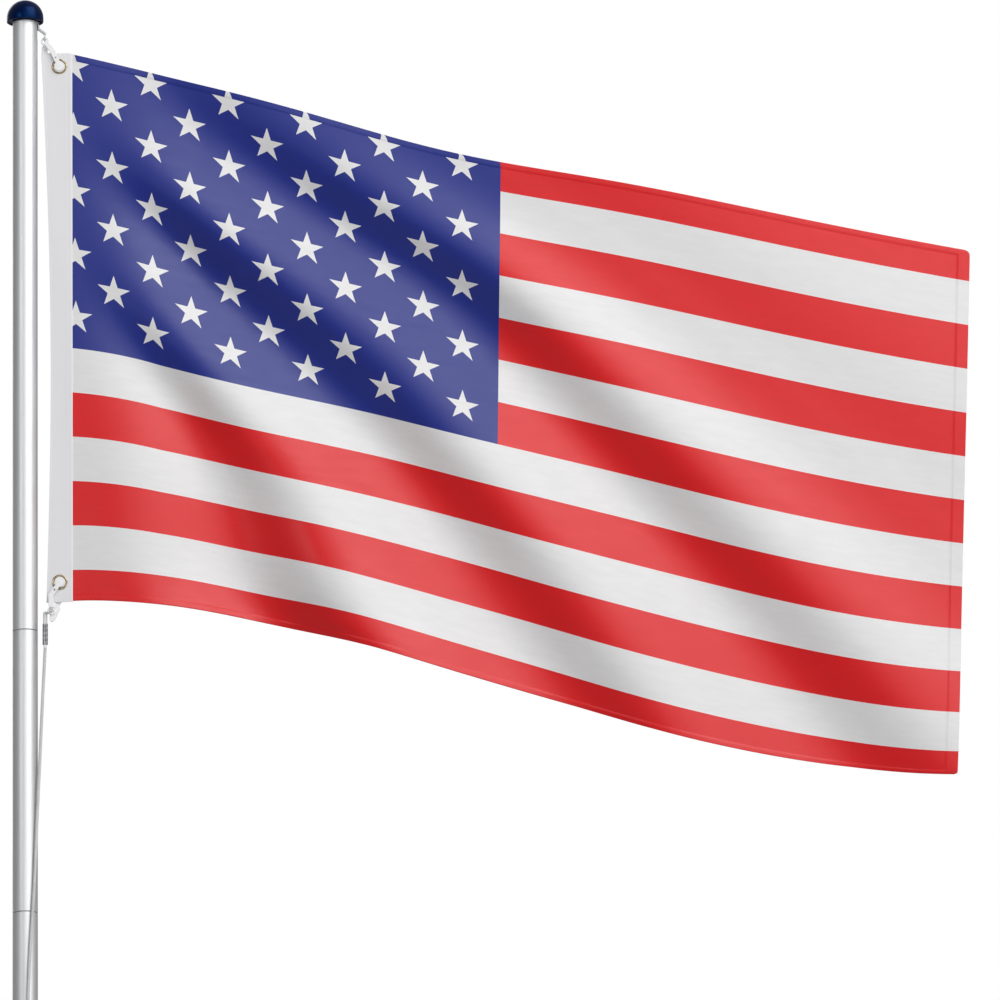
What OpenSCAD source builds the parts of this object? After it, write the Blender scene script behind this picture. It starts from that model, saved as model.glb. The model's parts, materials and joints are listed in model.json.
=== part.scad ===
// Sectional aluminium flagpole with an internal halyard and a clipped-on flag.
// Millimetres, +Z up. The origin is on the pole's axis at ground level; +X points to the flag's fly.

/* [Pole] */
// Outer diameter of the tube
tube_d = 40; // [34:1:60]
// Wall thickness of the tube
tube_wall = 1.5; // [1.2:0.1:2.5]
// Height of a full pole section
section_h = 1003; // [800:1:1200]
// Height of the short section under the top one
short_section_h = 455; // [300:1:800]
// Gap between two tube ends, filled by the coupler's stop rib
seam_gap = 1; // [0.6:0.1:2]
// Length of the sleeve inside each tube joint
coupler_l = 160; // [80:5:240]

/* [Top cap and pulley] */
// How far the cap overhangs the tube
cap_overhang = 9.5; // [6:0.5:14]
// Height of the straight rim under the dome
cap_rim_h = 7; // [2:0.5:8]
// Outer diameter of the pulley wheel
sheave_d = 24; // [20:1:26]
// Depth of the pulley's rope groove
groove_depth = 3; // [2:0.5:4]
// Diameter of the pulley's axle
axle_d = 5; // [4:0.5:7]

/* [Halyard] */
// Diameter of the rope
rope_d = 5; // [4:0.5:6]
// Gap between the pole's surface and the line that carries the flag
line_gap = 12; // [11:0.5:20]
// Height of the cleat's middle above the pole's first joint
cleat_up = 247; // [200:1:400]
// Length of the cleat's horns
cleat_l = 110; // [90:5:140]

/* [Flag] */
// Length of the printed cloth, laid flat
cloth_l = 1450; // [1200:10:1700]
// Height of the cloth
cloth_h = 900; // [700:10:1000]
// Thickness of the cloth as modelled
cloth_t = 2; // [1.5:0.1:3]
// Distance from the grommets' middle to the heading tape's straight, sewn edge
sewn_edge = 20; // [18:0.5:26]
// Distance from the grommets' middle to the cloth's nearer corner, up or down
grommet_in = 20.4; // [17:0.1:30]
// Thickness of the heading tape
heading_t = 2.5; // [2:0.1:3]
// Outer diameter of the brass grommets
grommet_d = 25; // [22:0.5:26]
// Clear hole of the grommets
grommet_hole_d = 17; // [15:0.5:18]

/* [Clips] */
// Length of a flag clip from its eye to the pin in the grommet
clip_l = 49; // [46:1:56]
// Distance from the tube's top down to the upper clip's eye
eye_drop = 32.1; // [31:0.1:60]
// Thickness of each of a clip's two arms
arm_t = 3.6; // [3:0.2:4]
// Length of the crimped ferrule
ferrule_l = 34; // [24:1:40]

/* [Hidden] */
$fn = 48;
fit = 0.05;

// Pole levels
tube_r = tube_d / 2;
bore_r = tube_r - tube_wall;
foot_t = 3;
section_hs = [section_h, section_h, section_h, section_h, short_section_h, section_h];
sections = len(section_hs);
function level(i) = i == 0 ? 0 : level(i - 1) + section_hs[i - 1];
top_z = level(sections);
edge_break = 0.5;

// Cap and pulley
cap_r = tube_r + cap_overhang;
cap_wall = 3;
spigot_r = bore_r - 4 * fit;
spigot_l = 40;
sheave_r = sheave_d / 2;
sheave_x = tube_r - 11;
sheave_z = top_z - 8;
sheave_w = 8;
slot_w = sheave_w + 1;
wrap_r = sheave_r - groove_depth + rope_d / 2 + 0.4;
slot_drop = 28;

// Line that carries the flag, and about which the flag swings
rope_r = rope_d / 2;
line_az = -6;
line_x = (tube_r + line_gap) * cos(line_az);
line_y = (tube_r + line_gap) * sin(line_az);

// Clip angles, from the eye to the grommet
upper_angle = -61;
lower_angle = 74;

// Flag levels, from the upper clip's eye, which hangs at the flag line
eye_gap = 0.4;
upper_eye = [line_x - eye_gap, top_z - eye_drop];
grommet_x = upper_eye[0] + clip_l * cos(upper_angle);
hoist_x = grommet_x + sewn_edge;
upper_grommet_z = upper_eye[1] + clip_l * sin(upper_angle);
cloth_top = upper_grommet_z + grommet_in;
cloth_bottom = cloth_top - cloth_h;
lower_grommet_z = cloth_bottom + grommet_in + 10;
grommet_r = grommet_d / 2;
barrel_t = 1;
flange_t = 0.75;

// Clips
arm_gap = 2.4;
arm_w = 6.5;
eye_r = 5.4;
eye_hole_r = 3;
lower_eye = [grommet_x - clip_l * cos(lower_angle), lower_grommet_z - clip_l * sin(lower_angle)];

// Rope loop through the upper eye
loop_r = 4.5;
loop_cord_r = 1.5;

// Wire link, rope loop and ferrule under the lower eye
link_r = 5;
link_wire_r = 1;
link_tilt = 20;
strand_x = 2.6;
strand_r = 1.2;
link_x = lower_eye[0] - link_r;
link_z = lower_eye[1] - 1.5;
bight_x = link_x - link_r * cos(link_tilt);
bight_z = link_z - link_r * sin(link_tilt);
whipping_l = 6;
strand_l = 17;
rope_end_z = bight_z - strand_l - ferrule_l - whipping_l;
tail_tilt = atan2(bight_x - line_x, bight_z - rope_end_z);
tail_l = norm([bight_x - line_x, bight_z - rope_end_z]);

// Rope exit and cleat
cleat_z = level(1) + cleat_up;
exit_az = -115;
exit_z = cleat_z + 202;
exit_w = 7.5;
exit_h = 34;
bush_lip = 2.8;
bush_wall = 1;
cleat_leg_z = 12;
cleat_leg_d = 10;
cleat_rod_d = 9;
cleat_plate_t = 3;
cleat_reach = 16;
screw_z = 30;
screw_r = 2;
hitch_top = cleat_z + cleat_leg_z + cleat_leg_d / 2 + rope_d + 0.4;

// Routes: azimuth about the pole, gap from the tube's surface to the rope's centre, height
lower_route = [
    [line_az, line_gap, rope_end_z],
    [-14, 8.6, top_z - 1117],
    [-25.5, 6.1, top_z - 1215],
    [-38, 4.4, top_z - 1314],
    [-50, 3.5, top_z - 1413],
    [-59, 3.2, top_z - 1466],
    [-73, 3.2, top_z - 1560],
    [-81, 3.2, top_z - 1700],
    [-81, 3.2, cleat_z + 700],
    [-81, 4, cleat_z + 180],
    [-82.5, 8.5, cleat_z + 60],
    [-82.5, 8.5, hitch_top]
];
return_route = [
    [-115, -tube_r + 0.5, exit_z + 80],
    [-115, -12.4, exit_z + 33],
    [-115, -2, exit_z + 8],
    [-115, 5, exit_z - 18],
    [-109, 6, cleat_z + 140],
    [-97.5, 8.5, cleat_z + 60],
    [-97.5, 8.5, hitch_top]
];
function place(p) = [(tube_r + p[1]) * cos(p[0]), (tube_r + p[1]) * sin(p[0]), p[2]];

// Cloth: s runs from the heading to the fly, t from the bottom edge to the top edge
cells_s = 64;
cells_t = 26;
taken_up = 31;
reach = cloth_l - taken_up;
fly_lean = 37.5;
drop_top = 341;
drop_bottom = 296;
drop_fly = 22;
top_dip = 20;
top_hang = 11;
early_hang = 14.5;
crease_hang = 4.5;
fold_y = 17;
billow_y = 9;
function ease(s) = s * s * (3 - 2 * s);
function hump(s, middle, spread) = exp(-pow((s - middle) / spread, 2)) * min(1, 10 * s);
function top_sag(s) = drop_top * s + top_dip * hump(s, 0.42, 0.17) + top_hang * sin(180 * s * s);
function bottom_sag(s) = drop_bottom * ease(s);
function inner_sag(s, t) =
    drop_fly * pow(s, 3) * sin(180 * pow(t, 0.6)) + early_hang * hump(s, 0.2, 0.14) * sin(180 * t);
// Soft folds fan out from the upper grommet and steepen towards the bottom edge
function fan(s, t) = s - 0.64 + 0.4 * t + 0.42 * t * t;
function turns(q) = 3.7 * q * (1 - 0.38 * q);
function crease(s, t) = let (a = 360 * turns(fan(s, t))) sin(a) + 0.15 * sin(2 * a);
function rise(s) = ease(min(1, s / 0.15));
function fold(s, t) =
    rise(s) * (billow_y * sin(360 * (0.8 * s + 0.35 * t) - 40) - fold_y * crease(s, t));
function sag(s, t) = bottom_sag(s) * (1 - t) + top_sag(s) * t + inner_sag(s, t)
    + crease_hang * rise(s) * crease(s, t);
function cloth_point(s, t, side) = [
    hoist_x + s * (reach + fly_lean * (t - 0.6)),
    line_y + fold(s, t) + side * cloth_t / 2,
    cloth_bottom + cloth_h * t - sag(s, t)
];

// A flat shape drawn in X and Z, as a plate between two Y levels
module plate(y0, y1) {
    translate([0, y1, 0]) rotate([90, 0, 0]) linear_extrude(y1 - y0) children();
}

// A bar with round ends between two points
module bar(p, q, w) {
    l = norm(q - p);
    translate(p) rotate(atan2(q[1] - p[1], q[0] - p[0])) {
        translate([0, -w / 2]) square([l, w]);
        circle(d = w);
        translate([l, 0]) circle(d = w);
    }
}

// A ring of round wire about the Z axis
module wire_ring(ring_r, wire_r) {
    rotate_extrude() translate([ring_r, 0]) circle(wire_r);
}

// A slot with round ends, upright, cut or built along the pole's radius
module upright_slot(w, h, r0, r1) {
    rotate([0, 0, 90]) plate(-r1, -r0) bar([0, w / 2 - h / 2], [0, h / 2 - w / 2], w);
}

// Sweeps rings of a round rope through a list of points
function unit(v) = v / norm(v);
function heading_at(path, i) =
    unit(path[min(i + 1, len(path) - 1)] - path[max(i - 1, 0)]);
function ring_at(path, i, r, sides) =
    let (
        d = heading_at(path, i),
        side = unit(cross(d, abs(d[1]) > 0.9 ? [1, 0, 0] : [0, 1, 0])),
        up = cross(side, d)
    )
    [for (k = [0 : sides - 1])
        path[i] + r * cos(360 * k / sides) * side + r * sin(360 * k / sides) * up];
module rope(path, r, sides = 10) {
    rings = len(path);
    points = [for (i = [0 : rings - 1]) each ring_at(path, i, r, sides)];
    walls = [for (i = [0 : rings - 2], k = [0 : sides - 1])
        let (n = (k + 1) % sides)
        each [
            [i * sides + k, i * sides + n, (i + 1) * sides + n],
            [i * sides + k, (i + 1) * sides + n, (i + 1) * sides + k]
        ]];
    first = [for (k = [0 : sides - 1]) sides - 1 - k];
    last = [for (k = [0 : sides - 1]) (rings - 1) * sides + k];
    polyhedron(points, concat(walls, [first, last]));
}

module foot_plug() {
    color("dimgray") {
        cylinder(h = foot_t, r = tube_r);
        cylinder(h = foot_t + 22, r = bore_r - fit);
    }
}

module ground_collar() {
    color("dimgray") difference() {
        cylinder(h = 14, r = tube_r + 6);
        translate([0, 0, -1]) cylinder(h = 16, r = tube_r + 0.3);
    }
}

// One length of tube with broken edges
module tube(z0, z1) {
    e = edge_break;
    rotate_extrude() polygon([
        [bore_r, z0], [tube_r - e, z0], [tube_r, z0 + e],
        [tube_r, z1 - e], [tube_r - e, z1], [bore_r, z1]
    ]);
}

module pole_section(i) {
    z0 = i == 0 ? foot_t : level(i) + seam_gap / 2;
    z1 = i == sections - 1 ? top_z : level(i + 1) - seam_gap / 2;
    color("silver") difference() {
        tube(z0, z1);
        if (i == 1) {
            for (s = [-1, 1])
                translate([0, 0, cleat_z + s * screw_z])
                    rotate([90, 0, 0]) cylinder(h = tube_r + 1, r = screw_r + fit);
            wider = 2 * bush_wall + 4 * fit;
            translate([0, 0, exit_z]) rotate([0, 0, exit_az])
                upright_slot(exit_w + wider, exit_h + wider, 1, tube_r + 2);
        }
        if (i == sections - 1)
            translate([0, -slot_w / 2, top_z - slot_drop]) cube([tube_r + 1, slot_w, slot_drop + 1]);
    }
}

// Sleeve inside a tube joint, with the rib that parts the two tube ends
module coupler(i) {
    color("silver") translate([0, 0, level(i)]) difference() {
        union() {
            translate([0, 0, -coupler_l / 2]) cylinder(h = coupler_l, r = bore_r - fit);
            translate([0, 0, fit - seam_gap / 2])
                cylinder(h = seam_gap - 2 * fit, r = tube_r - edge_break - 0.2);
        }
        translate([0, 0, -coupler_l / 2 - 1]) cylinder(h = coupler_l + 2, r = bore_r - fit - tube_wall);
    }
}

// Half section of the cap's dome, from its base up
module dome_section(r, base) {
    intersection() {
        union() {
            translate([0, cap_rim_h]) circle(r, $fn = 96);
            translate([0, base]) square([r, cap_rim_h - base]);
        }
        translate([0, base]) square([r + 1, 2 * r]);
    }
}

module top_cap() {
    color("midnightblue") difference() {
        union() {
            translate([0, 0, top_z]) rotate_extrude($fn = 96) difference() {
                dome_section(cap_r, 0);
                dome_section(cap_r - cap_wall, cap_wall);
            }
            translate([0, 0, top_z - spigot_l]) cylinder(h = spigot_l + 1, r = spigot_r);
        }
        translate([-rope_r - 4, -slot_w / 2, top_z - spigot_l - 1])
            cube([cap_r + rope_r + 1.5, slot_w, spigot_l + cap_wall + 2]);
        translate([sheave_x, tube_r, sheave_z]) rotate([90, 0, 0])
            cylinder(h = tube_d, r = axle_d / 2 + fit);
    }
}

module pulley_sheave() {
    g = groove_depth;
    color("dimgray") translate([sheave_x, 0, sheave_z]) rotate([90, 0, 0]) rotate_extrude() polygon([
        [axle_d / 2 + fit, -sheave_w / 2], [sheave_r, -sheave_w / 2], [sheave_r, -sheave_w / 2 + 0.5],
        [sheave_r - g, -1.6], [sheave_r - g, 1.6],
        [sheave_r, sheave_w / 2 - 0.5], [sheave_r, sheave_w / 2], [axle_d / 2 + fit, sheave_w / 2]
    ]);
}

module pulley_axle() {
    half = sqrt(pow(spigot_r, 2) - pow(sheave_x + axle_d / 2, 2)) - 0.5;
    color("silver") translate([sheave_x, half, sheave_z]) rotate([90, 0, 0])
        cylinder(h = 2 * half, r = axle_d / 2);
}

// The rope over the wheel, down inside the pole, out at the bush and down to the cleat
module halyard_return() {
    lead = [[sheave_x + wrap_r, 0, sheave_z - 1]];
    over = [for (a = [0 : 20 : 180])
        [sheave_x + wrap_r * cos(a), 0, sheave_z + wrap_r * sin(a)]];
    down = [[sheave_x - wrap_r, 0, top_z - spigot_l - 60], [sheave_x - wrap_r, 0, exit_z + 160]];
    out = [for (p = return_route) place(p)];
    color("gainsboro") rope(concat(lead, over, down, out), rope_r);
}

module halyard_upper() {
    x = sheave_x + wrap_r;
    end_z = upper_eye[1] + 2 * loop_r + loop_cord_r + 0.7;
    color("gainsboro") rope([
        [x, 0, sheave_z - 1.1], [x, 0, sheave_z - 2.9],
        [line_x, line_y, end_z + 1.8], [line_x, line_y, end_z]
    ], rope_r);
}

module halyard_lower() {
    color("gainsboro") rope([for (p = lower_route) place(p)], rope_r);
}

// Turns of rope round the cleat's legs, as one ring
module halyard_hitch() {
    y0 = -tube_r - cleat_plate_t - 0.3;
    w = cleat_leg_d + 0.4;
    color("gainsboro") translate([0, 0, cleat_z]) plate(y0 - 8, y0) difference() {
        bar([0, -cleat_leg_z], [0, cleat_leg_z], w + 2 * rope_d);
        bar([0, -cleat_leg_z], [0, cleat_leg_z], w);
    }
}

module rope_exit_bush() {
    w = exit_w + 2 * bush_wall;
    h = exit_h + 2 * bush_wall;
    color("darkslategray") translate([0, 0, exit_z]) rotate([0, 0, exit_az]) difference() {
        union() {
            upright_slot(w, h, bore_r - 1, tube_r + 1);
            difference() {
                upright_slot(w + bush_lip, h + bush_lip, tube_r - 3, tube_r + 1.5);
                translate([0, 0, -h]) cylinder(h = 2 * h, r = tube_r + fit);
            }
        }
        upright_slot(exit_w, exit_h, 1, tube_r + 3);
    }
}

module cleat_body() {
    rod_y = -tube_r - cleat_reach;
    half = cleat_l / 2 - cleat_rod_d / 2;
    color("dimgray") translate([0, 0, cleat_z]) difference() {
        union() {
            plate(-tube_r - cleat_plate_t, -tube_r + 3) bar([0, -screw_z], [0, screw_z], 16);
            for (s = [-1, 1]) {
                plate(rod_y, -tube_r - 1) translate([0, s * cleat_leg_z]) circle(d = cleat_leg_d);
                translate([0, rod_y, s * half]) sphere(d = cleat_rod_d);
            }
            translate([0, rod_y, -half]) cylinder(h = 2 * half, d = cleat_rod_d);
        }
        translate([0, 0, -cleat_l]) cylinder(h = 2 * cleat_l, r = tube_r + fit);
        for (s = [-1, 1])
            translate([0, 0, s * screw_z]) rotate([90, 0, 0]) cylinder(h = cleat_l, r = screw_r + fit);
    }
}

module cleat_screw(s) {
    color("silver") translate([0, 0, cleat_z + s * screw_z]) rotate([90, 0, 0]) {
        translate([0, 0, bore_r - 4]) cylinder(h = tube_wall + cleat_plate_t + 5, r = screw_r);
        translate([0, 0, tube_r + cleat_plate_t + fit]) cylinder(h = 2, r1 = 4, r2 = 3);
    }
}

// Places a clip: its eye at a point, its arms towards the grommet, cloth level at Y 0
module at_clip(eye, angle) {
    translate([eye[0], line_y, eye[1]]) rotate([0, -angle, 0]) children();
}

// Back arm, eye and grommet pin of a clip; bulge parts the two arms sideways
module clip_body(bulge, arm) {
    back = arm_gap + arm_t;
    difference() {
        union() {
            plate(-2, 2) {
                circle(eye_r);
                bar([0, 0], [11, 0], 8);
            }
            plate(-arm_gap + 0.1, back) bar([8.5, 0], [9.5, 0], 8);
            plate(arm_gap, back) {
                bar([8.5, -bulge / 3], [24, -bulge], arm);
                bar([24, -bulge], [clip_l, 0], arm);
            }
            plate(-arm_gap + 0.1, back) translate([clip_l, 0]) circle(3);
        }
        plate(-9, 9) circle(eye_hole_r);
    }
}

// Front arm of a clip, with its small hole
module clip_gate(bulge) {
    plate(-arm_gap - arm_t, -arm_gap) difference() {
        union() {
            bar([8, bulge / 3], [24, bulge], arm_w);
            bar([24, bulge], [clip_l, 0], arm_w);
        }
        translate([clip_l - 15, bulge * 0.6]) circle(1.3);
    }
}

module upper_clip() {
    color("whitesmoke") at_clip(upper_eye, upper_angle) clip_body(11, 8);
}

module upper_clip_gate() {
    color("white") at_clip(upper_eye, upper_angle) clip_gate(2);
}

module lower_clip() {
    color("whitesmoke") at_clip(lower_eye, lower_angle) clip_body(5, 9);
}

module lower_clip_gate() {
    color("white") at_clip(lower_eye, lower_angle) clip_gate(6);
}

module upper_rope_loop() {
    color("gainsboro") translate([line_x, line_y, upper_eye[1] + loop_r + 0.4])
        rotate([0, 90, 0]) wire_ring(loop_r, loop_cord_r);
}

module link_ring() {
    color("darkgray") translate([link_x, line_y, link_z])
        rotate([0, -link_tilt, 0]) rotate([25, 0, 0]) wire_ring(link_r, link_wire_r);
}

// Places the rope's tail: the flag line's end at the origin, the bight straight above
module at_tail() {
    translate([line_x, line_y, rope_end_z]) rotate([0, tail_tilt, 0]) children();
}

module lower_rope_loop() {
    z0 = whipping_l + ferrule_l + fit;
    color("gainsboro") at_tail() {
        for (s = [-1, 1])
            translate([s * strand_x, 0, z0]) cylinder(h = tail_l - z0, r = strand_r);
        translate([0, 0, tail_l]) rotate([90, 0, 0])
            rotate_extrude(angle = 180) translate([strand_x, 0]) circle(strand_r);
    }
}

module rope_ferrule() {
    color("darkgray") at_tail() translate([0, 0, whipping_l + fit]) linear_extrude(ferrule_l - fit) {
        for (s = [-1, 1])
            translate([s * 1.9, 0]) circle(d = 4.8);
    }
}

module rope_whipping() {
    color("white") at_tail() translate([0, 0, 0.6]) cylinder(h = whipping_l - 0.6, d = rope_d + 0.6);
}

// Brass eyelet: a barrel in the heading's hole and a lip on each face
module grommet(z) {
    hole = grommet_hole_d / 2;
    face = heading_t / 2;
    color("darkkhaki") translate([grommet_x, line_y, z]) rotate([90, 0, 0]) rotate_extrude() polygon([
        [hole, -face - flange_t], [grommet_r, -face - flange_t], [grommet_r, -face - fit],
        [hole + barrel_t, -face - fit], [hole + barrel_t, face + fit],
        [grommet_r, face + fit], [grommet_r, face + flange_t], [hole, face + flange_t]
    ]);
}

// Free edge of the heading, from its top (0) to its bottom (1)
function free_edge(k) = [
    hoist_x - 49.2 + 8 * k + 10.5 * sin(180 * k),
    cloth_top + 2.5 - (cloth_h + 5) * k
];

module flag_heading() {
    steps = 24;
    hole = grommet_hole_d / 2 + barrel_t + fit;
    color("white") translate([0, line_y, 0]) plate(-heading_t / 2, heading_t / 2) difference() {
        polygon(concat(
            [for (i = [0 : steps]) free_edge(i / steps)],
            [[hoist_x, cloth_bottom], [hoist_x, cloth_top]]
        ));
        for (z = [upper_grommet_z, lower_grommet_z])
            translate([grommet_x, z]) circle(hole);
    }
}

module flag_cloth() {
    row = cells_t + 1;
    sheet = (cells_s + 1) * row;
    function at(i, j, side) = side * sheet + i * row + j;
    points = [for (side = [-1, 1], i = [0 : cells_s], j = [0 : cells_t])
        cloth_point(i / cells_s, j / cells_t, side)];
    faces = [for (i = [0 : cells_s - 1], j = [0 : cells_t - 1]) each [
        [at(i, j, 0), at(i, j + 1, 0), at(i + 1, j + 1, 0)],
        [at(i, j, 0), at(i + 1, j + 1, 0), at(i + 1, j, 0)],
        [at(i, j, 1), at(i + 1, j + 1, 1), at(i, j + 1, 1)],
        [at(i, j, 1), at(i + 1, j, 1), at(i + 1, j + 1, 1)]
    ]];
    long_edges = [for (i = [0 : cells_s - 1]) each [
        [at(i, 0, 0), at(i + 1, 0, 0), at(i + 1, 0, 1), at(i, 0, 1)],
        [at(i + 1, cells_t, 0), at(i, cells_t, 0), at(i, cells_t, 1), at(i + 1, cells_t, 1)]
    ]];
    short_edges = [for (j = [0 : cells_t - 1]) each [
        [at(0, j + 1, 0), at(0, j, 0), at(0, j, 1), at(0, j + 1, 1)],
        [at(cells_s, j, 0), at(cells_s, j + 1, 0), at(cells_s, j + 1, 1), at(cells_s, j, 1)]
    ]];
    color("firebrick") polyhedron(points, concat(faces, long_edges, short_edges));
}

foot_plug();
ground_collar();
pole_section(0);  // pole_section_1
pole_section(1);  // pole_section_2
pole_section(2);  // pole_section_3
pole_section(3);  // pole_section_4
pole_section(4);  // pole_section_5
pole_section(5);  // pole_section_6
coupler(1);  // coupler_1
coupler(2);  // coupler_2
coupler(3);  // coupler_3
coupler(4);  // coupler_4
coupler(5);  // coupler_5
top_cap();
pulley_sheave();
pulley_axle();
halyard_return();
halyard_upper();
halyard_lower();
halyard_hitch();
rope_exit_bush();
cleat_body();
cleat_screw(1);  // cleat_screw_upper
cleat_screw(-1);  // cleat_screw_lower
upper_rope_loop();
upper_clip();
upper_clip_gate();
grommet(upper_grommet_z);  // upper_grommet
lower_clip();
lower_clip_gate();
grommet(lower_grommet_z);  // lower_grommet
link_ring();
lower_rope_loop();
rope_ferrule();
rope_whipping();
flag_heading();
flag_cloth();
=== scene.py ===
import json
import math

import bmesh
import bpy
from mathutils import Matrix, Vector


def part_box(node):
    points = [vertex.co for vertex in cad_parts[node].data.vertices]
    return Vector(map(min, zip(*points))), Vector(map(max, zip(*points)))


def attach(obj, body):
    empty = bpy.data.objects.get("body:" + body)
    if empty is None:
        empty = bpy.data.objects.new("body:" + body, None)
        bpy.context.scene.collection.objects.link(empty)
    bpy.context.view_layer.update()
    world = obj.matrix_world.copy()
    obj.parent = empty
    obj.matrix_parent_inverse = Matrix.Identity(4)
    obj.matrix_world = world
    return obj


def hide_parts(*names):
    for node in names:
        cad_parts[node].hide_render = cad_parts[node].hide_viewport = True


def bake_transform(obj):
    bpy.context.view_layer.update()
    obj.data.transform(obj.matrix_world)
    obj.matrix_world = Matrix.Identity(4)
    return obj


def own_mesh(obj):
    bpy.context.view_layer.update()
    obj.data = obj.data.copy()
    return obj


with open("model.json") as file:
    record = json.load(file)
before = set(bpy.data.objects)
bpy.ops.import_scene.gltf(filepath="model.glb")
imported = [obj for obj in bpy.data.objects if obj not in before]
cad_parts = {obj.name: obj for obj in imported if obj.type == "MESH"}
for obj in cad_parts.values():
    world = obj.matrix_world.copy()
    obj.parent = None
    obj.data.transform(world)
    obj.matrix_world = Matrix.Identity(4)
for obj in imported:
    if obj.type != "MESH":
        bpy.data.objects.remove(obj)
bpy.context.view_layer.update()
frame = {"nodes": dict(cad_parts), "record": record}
print("stage: frame loaded")

mm = 0.001
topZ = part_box("pole_section_6")[1][2]
tubeR, boreR = 0.020, 0.0185
lineX, lineY = 0.031825, -0.003345  # the line that the flag swings about


# Adds a shader node, sets its fields, and joins or fills its inputs
def addNode(material, kind, inputs=None, **fields):
    node = material.node_tree.nodes.new("ShaderNode" + kind)
    for key, value in fields.items():
        setattr(node, key, value)
    for key, value in (inputs or {}).items():
        if isinstance(value, bpy.types.NodeSocket):
            material.node_tree.links.new(value, node.inputs[key])
        else:
            node.inputs[key].default_value = value
    return node


def calc(material, operation, a, b=0.0):
    return addNode(material, "Math", {0: a, 1: b}, operation=operation).outputs[0]


def mixColour(material, factor, a, b):
    node = addNode(material, "Mix", {"Factor": factor, 6: a, 7: b}, data_type="RGBA")
    return node.outputs[2]


def newMaterial(name, **sockets):
    material = bpy.data.materials.new(name)
    material.use_nodes = True
    material.node_tree.nodes.clear()
    shader = addNode(material, "BsdfPrincipled")
    for key, value in sockets.items():
        shader.inputs[key.replace("_", " ")].default_value = value
    addNode(material, "OutputMaterial", {"Surface": shader.outputs[0]})
    return material, shader


def objectCoords(material, scale=(1, 1, 1)):
    place = addNode(material, "TexCoord").outputs["Object"]
    return addNode(material, "Mapping", {"Vector": place, "Scale": scale}).outputs[0]


# The piece's own UV map, with its u and v
def uvPlace(material):
    place = addNode(material, "UVMap", uv_map="UVMap").outputs[0]
    parts = addNode(material, "SeparateXYZ", {0: place})
    return place, parts.outputs[0], parts.outputs[1]


def noise(material, vector, scale, detail=3, roughness=0.5):
    fields = {"Vector": vector, "Scale": scale, "Detail": detail, "Roughness": roughness}
    return addNode(material, "TexNoise", fields).outputs[0]


# Noise over a UV map, drawn out along u or v by its scale
def uvNoise(material, place, scale, detail, roughness=0.5):
    drawn = addNode(material, "Mapping", {"Vector": place, "Scale": scale}).outputs[0]
    return noise(material, drawn, 1.0, detail, roughness)


def remap(material, value, low, high, toLow, toHigh):
    fields = {0: value, 1: low, 2: high, 3: toLow, 4: toHigh}
    return addNode(material, "MapRange", fields).outputs[0]


def bump(material, shader, height, distance, strength=1.0):
    node = addNode(material, "Bump", {"Strength": strength, "Distance": distance, "Height": height})
    material.node_tree.links.new(node.outputs[0], shader.inputs["Normal"])


def wire(material, socket, shader, name):
    material.node_tree.links.new(socket, shader.inputs[name])


# ---- camera ----

cameraLook = {
    "lens": 400.0, "pitch": 13.5, "roll": -0.594,
    "distance": 17.656, "lookX": 0.7546, "belowTop": 0.7964,
}


def makeCamera(look):
    pitch, roll = math.radians(look["pitch"]), math.radians(look["roll"])
    ahead = Vector((0, math.cos(pitch), math.sin(pitch)))
    up = Vector((0, -math.sin(pitch), math.cos(pitch)))
    right = Vector((1, 0, 0))
    across = right * math.cos(roll) + up * math.sin(roll)
    upright = up * math.cos(roll) - right * math.sin(roll)
    target = Vector((look["lookX"], 0, topZ - look["belowTop"]))
    data = bpy.data.cameras.new("camera")
    data.lens, data.sensor_width = look["lens"], 36
    data.clip_start, data.clip_end = 0.1, 400
    camera = bpy.data.objects.new("camera", data)
    axes = Matrix((across, upright, -ahead)).transposed().to_4x4()
    camera.matrix_world = Matrix.Translation(target - ahead * look["distance"]) @ axes
    bpy.context.scene.collection.objects.link(camera)
    bpy.context.scene.camera = camera


makeCamera(cameraLook)
print("stage: camera")


# ---- floor, world and lamps ----

studio = {
    "floorHalf": 90.0, "floorColour": (0.82, 0.82, 0.82, 1),
    "fill": 0.23, "sheenOfRoom": 0.235,
    "key": {"turn": 39.0, "height": 46.0, "away": 6.5, "wide": 5.0, "tall": 5.0, "power": 245.0},
    "panel": {"turn": 30.0, "height": 12.0, "away": 9.0, "wide": 13.0, "tall": 9.0, "power": 420.0},
    "side": {"turn": -38.0, "height": 16.0, "away": 9.0, "wide": 2.0, "tall": 1.8, "power": 80.0},
    "back": {"turn": 200.0, "height": 25.0, "away": 9.0, "wide": 6.0, "tall": 6.0, "power": 200.0},
}


def makeFloor(half, colour):
    bm = bmesh.new()
    bmesh.ops.create_grid(bm, x_segments=1, y_segments=1, size=half)
    mesh = bpy.data.meshes.new("floor")
    bm.to_mesh(mesh)
    bm.free()
    floor = bpy.data.objects.new("floor", mesh)
    bpy.context.scene.collection.objects.link(floor)
    material, shader = newMaterial("floorPaint", Base_Color=colour, Roughness=0.9)
    floor.data.materials.append(material)


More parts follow.
